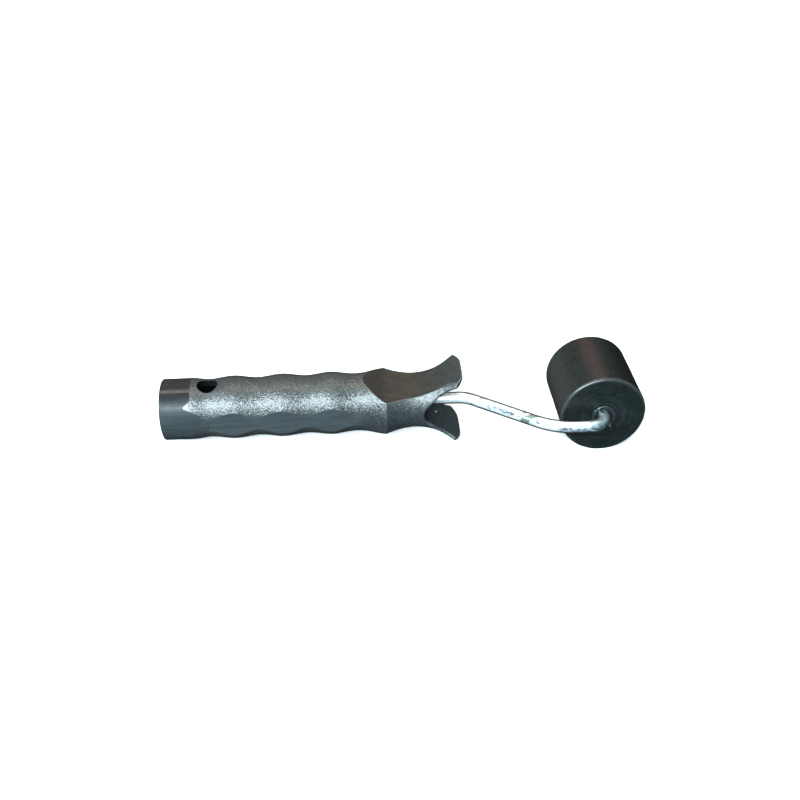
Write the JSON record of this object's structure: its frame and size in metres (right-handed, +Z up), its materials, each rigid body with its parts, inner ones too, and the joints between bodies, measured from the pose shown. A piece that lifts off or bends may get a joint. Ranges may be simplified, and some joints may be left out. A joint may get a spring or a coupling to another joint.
{
  "type": "rubber brayer",
  "caption": "Hand brayer with a short rubber roller that spins on a bent wire frame, and a moulded plastic grip with flared thumb rests and a pole socket.",
  "frame": {"origin": "centre of the roller, on its spin axis", "axes": "+Y along the roller's spin axis, away from the side where the wire enters; +X from the grip's rear end towards the roller; +Z up with the wire frame lying flat"},
  "size_m": [0.216, 0.0545, 0.0382],
  "materials": {
    "grip_plastic": "dark grey moulded plastic, coarse grained where held and smooth on the thumb rests",
    "zinc_wire": "bright zinc plated steel wire",
    "zinc_washer": "zinc plated steel",
    "roller_rubber": "ground black rubber, semi-gloss",
    "core_steel": "drawn steel tube",
    "bush_plastic": "black acetal"
  },
  "bodies": {
    "frame": {"grip_handle": "grip_plastic", "frame_rod": "zinc_wire", "near_washer": "zinc_washer", "far_washer": "zinc_washer", "retaining_cap": "zinc_washer"},
    "roller": {"rubber_sleeve": "roller_rubber", "core_tube": "core_steel", "near_bush": "bush_plastic", "far_bush": "bush_plastic"}
  },
  "joints": [
    {"name": "roller_spin", "type": "hinge", "parent": "frame", "child": "roller", "pos_m": [0, 0, 0], "axis": [0, 1, 0], "continuous": true}
  ]
}
